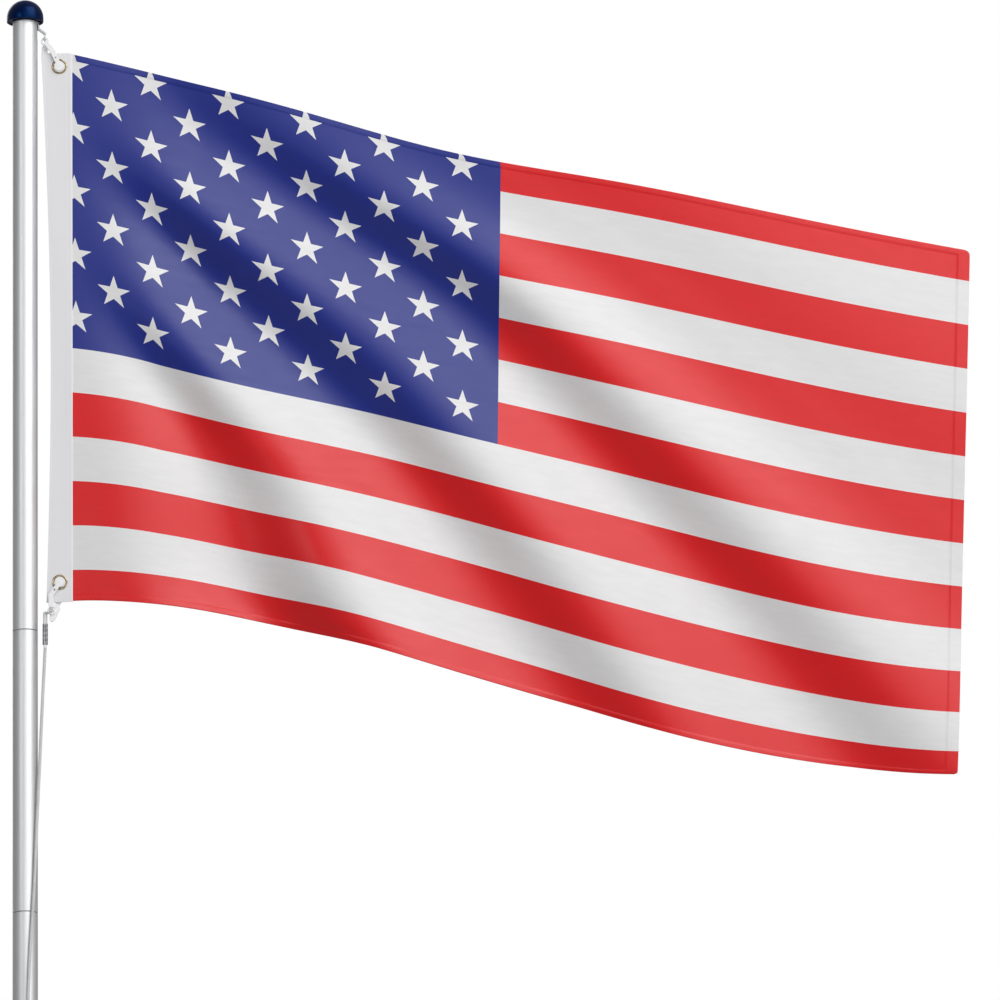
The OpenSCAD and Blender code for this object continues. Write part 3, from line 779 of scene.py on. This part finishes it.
# The tapered tongue that a thumb presses, past the eye on the back arm's side
def tongueFor(eye, turn):
    bm = roundEnded(clip["tongueWide"], clip["tongueLong"], 0.0, clip["tongueThick"])
    top = clip["tongueZ"]
    bmesh.ops.rotate(bm, verts=bm.verts, cent=(0, 0, 0), matrix=Matrix.Rotation(math.pi / 2, 3, "Y"))
    bmesh.ops.translate(bm, verts=bm.verts, vec=(clip["tongueX"], 0, top))
    for vert in bm.verts:
        near = max(0.0, min(1.0, -vert.co.x / clip["thinOver"]))
        vert.co.z = top + (vert.co.z - top) * (1 - clip["thinning"] * near)
    return atClip(bm, eye, turn)


# Broadens the arms between the eye and the pad
def fuller(eye, turn):
    ahead = Vector((math.cos(math.radians(turn)), 0, math.sin(math.radians(turn))))

    def shape(co):
        away = co - Vector((eye.x, co.y, eye.z))
        along = away.dot(ahead)
        grown = clip["fuller"] * min(1, max(0, (clip["long"] - clip["fullTo"] - along) / clip["fullOver"]))
        return co + (away - ahead * along) * grown
    return shape


for side, eye, turn in (("upper", upperEye, clip["upperTurn"]), ("lower", lowerEye, clip["lowerTurn"])):
    tongue = [tongueFor(eye, turn)] if side == "lower" else []
    for name, node, added in (("Clip", "_clip", tongue), ("ClipGate", "_clip_gate", [padFor(eye, turn)])):
        moulded(side + name, side + node, whitePlastic, "flag", "white_plastic", 0.00035, 4, fuller(eye, turn), added)


# A closed ring of cord; its two ends meet and are merged
def ringSkin(centre, across, up, radius, thick, sides=14, count=48):
    angles = [2 * math.pi * k / count for k in range(count + 1)]
    path = [centre + radius * (math.cos(a) * across + math.sin(a) * up) for a in angles]
    normal = across.cross(up)

    def place(i, v):
        out = (path[i] - centre).normalized()
        turn = 2 * math.pi * v
        return path[i] + thick * (math.cos(turn) * out + math.sin(turn) * normal)

    stretch = 2 * math.pi * radius / count
    bm = surface(list(range(count + 1)), [k / sides for k in range(sides + 1)], place, lambda i, v: (i * stretch, v))
    bmesh.ops.remove_doubles(bm, verts=bm.verts, dist=1e-6)
    return bm


def makeUpperLoop():
    centre = Vector((lineX, lineY, upperEye.z + loop["rise"]))
    bm = ringSkin(centre, Vector((0, 1, 0)), Vector((0, 0, 1)), loop["radius"], loop["thick"])
    return finishMesh("upperRopeLoop", bm, thinCord, "flag", "rope", "upper_rope_loop", crisp=60)


def makeLink():
    centre = Vector((lowerEye.x - link["x"], lineY, lowerEye.z - link["z"]))
    lean = Matrix.Rotation(-math.radians(link["lean"]), 3, "Y") @ Matrix.Rotation(math.radians(link["roll"]), 3, "X")
    bm = ringSkin(centre, lean @ Vector((1, 0, 0)), lean @ Vector((0, 1, 0)), link["radius"], link["thick"], 16)
    return finishMesh("linkRing", bm, steel, "flag", "steel", "link_ring", crisp=60)


tailTilt = math.atan2(bight.x - lineX, bight.z - ropeEndZ)
tailLong = math.hypot(bight.x - lineX, bight.z - ropeEndZ)
atTail = Matrix.Translation((lineX, lineY, ropeEndZ)) @ Matrix.Rotation(tailTilt, 4, "Y")
tail = {
    "whipping": 0.006, "ferrule": 0.034, "strandX": 0.0020, "strandR": 0.0016,
    "halfX": 0.0043, "halfY": 0.0024, "waist": 0.38, "waistWide": 0.30, "bands": (0.16, 0.38, 0.62, 0.84),
}


def makeLowerLoop():
    z0, x = tail["whipping"] + tail["ferrule"] + 0.0001, tail["strandX"]
    points = [(x, 0, z0), (x, 0, tailLong - 0.004), (x, 0, tailLong)]
    points += [(x * math.cos(a), 0, tailLong + x * math.sin(a)) for a in map(math.radians, range(30, 180, 30))]
    points += [(-x, 0, tailLong), (-x, 0, tailLong - 0.004), (-x, 0, z0)]
    bm = moved(cordSkin(smoothPath(points, 0.0006), tail["strandR"], 14), atTail)
    return finishMesh("lowerRopeLoop", bm, thinCord, "flag", "rope", "lower_rope_loop", crisp=60)


# A crimped sleeve over both strands: waisted between them, with four pressed bands
def makeFerrule():
    bm = bmesh.new()
    z0, long, rings = tail["whipping"] + 0.0001, tail["ferrule"] - 0.0002, 44
    bmesh.ops.create_circle(bm, cap_ends=True, segments=48, radius=1.0)
    face = bm.faces[:]
    for k in range(rings):
        out = bmesh.ops.extrude_face_region(bm, geom=face)
        tops = [v for v in out["geom"] if isinstance(v, bmesh.types.BMVert)]
        bmesh.ops.translate(bm, verts=tops, vec=(0, 0, long / rings))
        bmesh.ops.delete(bm, geom=face if k else [], context="FACES_ONLY")
        face = [f for f in out["geom"] if isinstance(f, bmesh.types.BMFace)]
    for vert in bm.verts:
        x, y, z = vert.co
        pressed = sum(math.exp(-((z / long - at) / 0.045) ** 2) for at in tail["bands"])
        rimmed = 0.92 if z < 1e-5 or z > long - 1e-5 else 1.0
        waist = 1 - tail["waist"] * math.exp(-(x / tail["waistWide"]) ** 2)
        x *= tail["halfX"] * rimmed * (1 - 0.05 * pressed)
        y *= tail["halfY"] * rimmed * waist * (1 - 0.16 * pressed)
        vert.co = Vector((x, y, z0 + z))
    return finishMesh("ropeFerrule", moved(bm, atTail), crimpSteel, "flag", "steel", "rope_ferrule", crisp=50)


# Thread wound tightly round the rope's end
def makeWhipping():
    turns, z0, z1 = 9, 0.0006, tail["whipping"]
    pitch = (z1 - z0) / turns
    outline = [(0.0, z0), (0.0024, z0)]
    for k in range(turns):
        outline += [(0.00250 + 0.0003 * math.sin(math.pi * s), z0 + pitch * (k + s)) for s in (0.15, 0.5, 0.85)]
    outline += [(0.0024, z1), (0.0, z1)]
    bm = moved(turned(outline, 40, ring=False), atTail)
    return finishMesh("ropeWhipping", bm, whitePlastic, "flag", "white_plastic", "rope_whipping", crisp=50)


makeUpperLoop()
makeLink()
makeLowerLoop()
makeFerrule()
makeWhipping()
print("stage: clips, link, loops and ferrule")


# ---- the flag's cloth ----

flag = {
    "hoistX": grommetX + 0.020, "height": flagHeight, "reach": 1.419, "lean": 0.0375,
    "flatLong": 1.45, "takenUp": 0.031, "underTape": 0.006,
    "dropTop": 0.341, "dropBottom": 0.296, "dropFly": 0.022, "dip": 0.020,
    "topHang": 0.011, "earlyHang": 0.0145, "creaseHang": 0.0045,
    "fold": 0.017, "billow": 0.009, "tuck": 0.0045,
    "thickness": 0.0012, "hem": 0.010, "flyHem": 0.018, "cornerR": 0.008,
    "cellsLong": 250, "cellsHigh": 148,
}
clothTop = upperGrommetZ + topInset
clothBottom = clothTop - flag["height"]
# a patch is how much it does, its middle along and up the cloth, and its reach along and up
folds = {
    "waves": 3.7, "widening": 0.38, "start": 0.64, "slant": 0.4, "bend": 0.42, "second": 0.15,
    "innerFoot": (0.165, 0, 0, 0.42, 0.27), "upperMiddle": (0.045, 0.44, 0.72, 0.17, 0.2),
    "topCorner": (0.75, 0, 1, 0.5, 0.15), "deepFoot": (0.9, 0.27, 0, 0.16, 0.22),
    "calmBy": 0.7, "calmFrom": 0.44, "calmOver": 0.2, "tuckAt": 0.045, "tuckHigh": 0.4,
}


def ease(s):
    return s * s * (3 - 2 * s)


def hump(s, middle, spread):
    return math.exp(-((s - middle) / spread) ** 2) * min(1, 10 * s)


def rise(s):
    return ease(min(1, max(0, s) / 0.15))


def felt(patch, s, t):
    much, middleS, middleT, reachS, reachT = folds[patch]
    return much * math.exp(-((s - middleS) / reachS) ** 2 - ((t - middleT) / reachT) ** 2)


# Soft folds fan out from the upper grommet and steepen towards the bottom edge
def crease(s, t):
    q = s - folds["start"] + folds["slant"] * t + folds["bend"] * t * t + felt("innerFoot", s, t)
    q -= felt("upperMiddle", s, t)
    a = 2 * math.pi * folds["waves"] * q * (1 - folds["widening"] * q)
    calm = 1 - folds["calmBy"] * ease(min(1, max(0, q - folds["calmFrom"]) / folds["calmOver"]))
    calm *= 1 - felt("topCorner", s, t)
    return calm * (math.sin(a) + folds["second"] * math.sin(2 * a))


def sag(s, t):
    t = min(1, max(0, t))
    top = flag["dropTop"] * s + flag["dip"] * hump(s, 0.42, 0.17) + flag["topHang"] * math.sin(math.pi * s * s)
    inner = flag["dropFly"] * s ** 3 * math.sin(math.pi * t ** 0.6)
    inner += flag["earlyHang"] * hump(s, 0.2, 0.14) * math.sin(math.pi * t)
    edges = flag["dropBottom"] * ease(s) * (1 - t) + top * t
    return edges + inner + flag["creaseHang"] * rise(s) * crease(s, t)


def fold(s, t):
    billow = math.sin(2 * math.pi * (0.8 * s + 0.35 * t) - math.radians(40))
    deep = 1 + felt("deepFoot", s, t)
    at, high = folds["tuckAt"], folds["tuckHigh"]
    tuck = flag["tuck"] * max(0, s) / at * math.exp(1 - s / at - (t / high) ** 2)
    return rise(s) * (flag["billow"] * billow - flag["fold"] * deep * crease(s, t)) - tuck


def clothPoint(s, t):
    z = clothBottom + flag["height"] * t - sag(s, t)
    return Vector((flag["hoistX"] + s * (flag["reach"] + flag["lean"] * (t - 0.6)), lineY + fold(s, t), z))


# Printed polyester: stripes and a blue corner of stars, laid out in metres on the flat cloth
printed = {
    "stripe": 0.07262, "underHem": 0.0222, "cornerU": 0.6940, "cornerV": 0.4135,
    "starPitchU": 0.0630, "starPitchV": 0.1040, "firstU": 0.0014, "firstV": 0.0192,
    "starR": 0.0278, "starLean": 0.012, "weavePitch": 0.0006,
    "red": (0.70, 0.003, 0.006, 1), "white": (0.75, 0.745, 0.75, 1), "blue": (0.006, 0.018, 0.225, 1),
}


# 1 inside a five-pointed star of the lattice, by the distance to its nearest centre
def starMask(material, u, v, shiftU, shiftV, columns, rows):
    p, q, r = 2 * printed["starPitchU"], printed["starPitchV"], printed["starR"]
    lean = calc(material, "MULTIPLY", calc(material, "SUBTRACT", shiftV, v), printed["starLean"])
    gu = calc(material, "DIVIDE", calc(material, "SUBTRACT", calc(material, "SUBTRACT", u, lean), shiftU), p)
    gv = calc(material, "DIVIDE", calc(material, "SUBTRACT", shiftV, v), q)
    nu = calc(material, "MINIMUM", calc(material, "MAXIMUM", calc(material, "ROUND", gu), 0), columns - 1)
    nv = calc(material, "MINIMUM", calc(material, "MAXIMUM", calc(material, "ROUND", gv), 0), rows - 1)
    x = calc(material, "MULTIPLY", calc(material, "SUBTRACT", gu, nu), p)
    y = calc(material, "MULTIPLY", calc(material, "SUBTRACT", nv, gv), q)
    armTurn = 2 * math.pi / 5
    turn = calc(material, "DIVIDE", calc(material, "ARCTAN2", x, y), armTurn)
    beat = calc(material, "FRACT", calc(material, "ADD", turn, 5.5))
    angle = calc(material, "MULTIPLY", calc(material, "ABSOLUTE", calc(material, "SUBTRACT", beat, 0.5)), armTurn)
    squares = [calc(material, "MULTIPLY", part, part) for part in (x, y)]
    away = calc(material, "SQRT", calc(material, "ADD", *squares))
    # each arm's edge runs from the tip at angle 0 to the notch at 36 degrees
    notch = 0.382 * r
    tip, low = Vector((0, r)), Vector((notch * math.sin(armTurn / 2), notch * math.cos(armTurn / 2)))
    edge = (low - tip).normalized()
    outward = Vector((-edge.y, edge.x))
    if outward.dot(tip) < 0:
        outward = -outward
    px = calc(material, "MULTIPLY", away, calc(material, "SINE", angle))
    py = calc(material, "MULTIPLY", away, calc(material, "COSINE", angle))
    reach = calc(material, "ADD", calc(material, "MULTIPLY", px, outward.x), calc(material, "MULTIPLY", py, outward.y))
    return calc(material, "LESS_THAN", reach, outward.dot(tip))


def makePrintedCloth():
    material, shader = newMaterial("printedPolyester")
    shader.inputs["Specular IOR Level"].default_value = 0.48
    place, u, v = uvPlace(material)
    fromFoot = calc(material, "ADD", v, printed["underHem"])
    white = calc(material, "MODULO", calc(material, "FLOOR", calc(material, "DIVIDE", fromFoot, printed["stripe"])), 2)
    stripes = mixColour(material, white, printed["red"], printed["white"])
    pu, pv = printed["starPitchU"], printed["starPitchV"]
    u0, v0 = printed["firstU"], flag["height"] - printed["firstV"]
    stars = calc(material, "MAXIMUM",
                 starMask(material, u, v, u0, v0, 6, 5),
                 starMask(material, u, v, u0 + pu, v0 - pv / 2, 5, 4))
    corner = mixColour(material, stars, printed["blue"], printed["white"])
    inCorner = calc(material, "MULTIPLY",
                    calc(material, "LESS_THAN", u, printed["cornerU"]),
                    calc(material, "GREATER_THAN", v, printed["cornerV"]))
    ink = mixColour(material, inCorner, stripes, corner)
    # ink soaks in a little unevenly, and hem thread takes the ink's colour
    uneven = uvNoise(material, place, (22, 90, 1), 5, 0.65)
    high, hem, flySeam = flag["height"], flag["hem"], flag["flatLong"] - flag["flyHem"]
    stitch, thread = 0.0034, 0.0005
    edgeRows = stitchRows(material, v, u, (hem - 0.0015, high - hem + 0.0015), stitch, thread)
    flyRows = stitchRows(material, u, v, (flySeam + 0.0015, flySeam + 0.006), stitch, thread)
    seams = calc(material, "MAXIMUM", edgeRows, flyRows)
    tone = calc(material, "SUBTRACT",
                remap(material, uneven, 0.3, 0.7, 1.0, 0.94),
                calc(material, "MULTIPLY", seams, 0.04))
    grey = addNode(material, "CombineColor", {0: tone, 1: tone, 2: tone}).outputs[0]
    toned = addNode(material, "Mix", {"Factor": 1.0, 6: ink, 7: grey},
                    data_type="RGBA", blend_type="MULTIPLY").outputs[2]
    wire(material, toned, shader, "Base Color")
    wire(material, remap(material, uneven, 0.3, 0.7, 0.32, 0.41), shader, "Roughness")
    # plain weave, which goes over and under once in each pitch
    weave = [calc(material, "SINE", calc(material, "MULTIPLY", way, 2 * math.pi / printed["weavePitch"]))
             for way in (u, v)]
    threads = calc(material, "MULTIPLY", *weave)
    slub = uvNoise(material, place, (40, 400, 1), 3)
    height = calc(material, "ADD", calc(material, "MULTIPLY", threads, 0.5), slub)
    height = calc(material, "ADD", height, calc(material, "MULTIPLY", seams, 1.2))
    bump(material, shader, height, 0.00006, 0.35)
    return material


printedCloth = makePrintedCloth()


def makeCloth():
    hem, flyHem, high, long = flag["hem"], flag["flyHem"], flag["height"], flag["reach"]
    flat = long + flag["takenUp"]
    step, r = 0.0006, flag["cornerR"]
    flyLines = [1 - d / long for d in (flyHem, flyHem + step, 0.001)]
    edgeLines = [x for e in (hem, hem + step, 0.0012, 0.003) for x in (e / high, 1 - e / high)]
    uLines = lines(-flag["underTape"] / long, 1, flag["cellsLong"], flyLines)
    vLines = lines(0, 1, flag["cellsHigh"], edgeLines)

    def place(s, t):
        d = max(0, r - min(t, 1 - t) * high)
        trim = (r - math.sqrt(r * r - d * d)) / long
        return clothPoint(s * (1 - trim) if s > 0 else s, t)

    bm = surface(uLines, vLines, place, lambda s, t: (s * flat, t * high))
    layer = bm.verts.layers.deform.verify()
    uv = bm.loops.layers.uv["UVMap"]
    for vert in bm.verts:
        u, v = vert.link_loops[0][uv].uv
        if min(v, high - v) <= hem + 1e-5 or u >= (1 - flyHem / long) * flat - 1e-5:
            vert[layer][0] = 1.0  # the folded hem is twice as thick
    piece = finishMesh("flagCloth", bm, printedCloth, "flag", "cloth", "flag_cloth", normals=False, crisp=180)
    piece.vertex_groups.new(name="hem")
    solid = piece.modifiers.new("thickness", "SOLIDIFY")
    solid.thickness, solid.offset = flag["thickness"], 0
    solid.vertex_group, solid.thickness_vertex_group = "hem", 0.5
    return piece


makeCloth()
print("stage: cloth")


# ---- heading tape and grommets ----

heading = {
    "thick": 0.0018, "lap": 0.0006, "wave": 0.0004, "cellsWide": 22, "cellsHigh": 240, "flatWide": 0.0415,
    "wide": 0.0492, "narrowing": 0.008, "bow": 0.0105, "sewnOver": 0.0011, "freeOver": 0.0025,
}
grommet = {
    "x": grommetX, "upperZ": upperGrommetZ, "lowerZ": lowerGrommetZ,
    "outer": 0.0124, "hole": 0.0089, "barrel": 0.0008, "face": 0.00125, "flange": 0.00072,
}


# a runs from the sewn edge to the free edge, k from the top to the bottom
def headingPoint(a, k):
    high, sewnOver, freeOver = flag["height"], heading["sewnOver"], heading["freeOver"]
    sewn = Vector((flag["hoistX"] + heading["lap"], 0, clothTop + sewnOver - (high + 2 * sewnOver) * k))
    freeX = flag["hoistX"] - heading["wide"] + heading["narrowing"] * k + heading["bow"] * math.sin(math.pi * k)
    free = Vector((freeX, 0, clothTop + freeOver - (high + 2 * freeOver) * k))
    spot = sewn.lerp(free, a)
    calm = min(1, 6 * k, 6 * (1 - k))
    spot.y = lineY + calm * heading["wave"] * (math.sin(9 * k + 3 * a) + 0.6 * a * math.sin(31 * k))
    return spot


def makeHeading():
    bm = surface(lines(0, 1, heading["cellsWide"]), lines(0, 1, heading["cellsHigh"]), headingPoint,
                 lambda a, k: (a * heading["flatWide"], k * flag["height"]))
    piece = finishMesh("headingTape", bm, tape, "flag", "heading", "flag_heading", normals=False, crisp=180)
    solid = piece.modifiers.new("thickness", "SOLIDIFY")
    solid.thickness, solid.offset = heading["thick"], 0
    settle(piece)
    holes = []
    for z in (grommet["upperZ"], grommet["lowerZ"]):
        bm = bmesh.new()
        hole = grommet["hole"] + grommet["barrel"]
        bmesh.ops.create_cone(bm, cap_ends=True, segments=64, radius1=hole, radius2=hole, depth=0.01)
        holes.append(moved(bm, Matrix.Translation((grommet["x"], lineY, z)) @ zToFront))
    shapedBy(piece, "DIFFERENCE", *holes)
    rounding = piece.modifiers.new("rounding", "BEVEL")
    rounding.width, rounding.segments = 0.0004, 2
    rounding.limit_method, rounding.angle_limit = "ANGLE", math.radians(50)
    settle(piece)
    return piece


# Two rolled lips joined by a barrel through the tape's hole
def makeGrommet(name, z, node):
    o, h, face, t = grommet["outer"], grommet["hole"], grommet["face"], grommet["flange"]
    lip = [(o, face - 0.0004), (o, face + 0.0001), (o - 0.0004, face + t * 0.62), (o - 0.0012, face + t * 0.95),
           (o - 0.0020, face + t), (h + 0.0006, face + t * 0.80), (h + 0.0001, face + t * 0.40), (h, face)]
    outline = [(o - 0.0003, face - 0.0004)] + lip + [(r, -y) for r, y in reversed(lip)] + [(o - 0.0003, -face + 0.0004)]
    outline += [(h + 0.0007, -face + 0.0004), (h + 0.0007, face - 0.0004)]
    bm = moved(turned(outline, 96), Matrix.Translation((grommet["x"], lineY, z)) @ zToFront)
    return finishMesh(name, bm, brass, "flag", "brass", node, crisp=70)


makeHeading()
makeGrommet("upperGrommet", grommet["upperZ"], "upper_grommet")
makeGrommet("lowerGrommet", grommet["lowerZ"], "lower_grommet")
print("stage: heading and grommets")
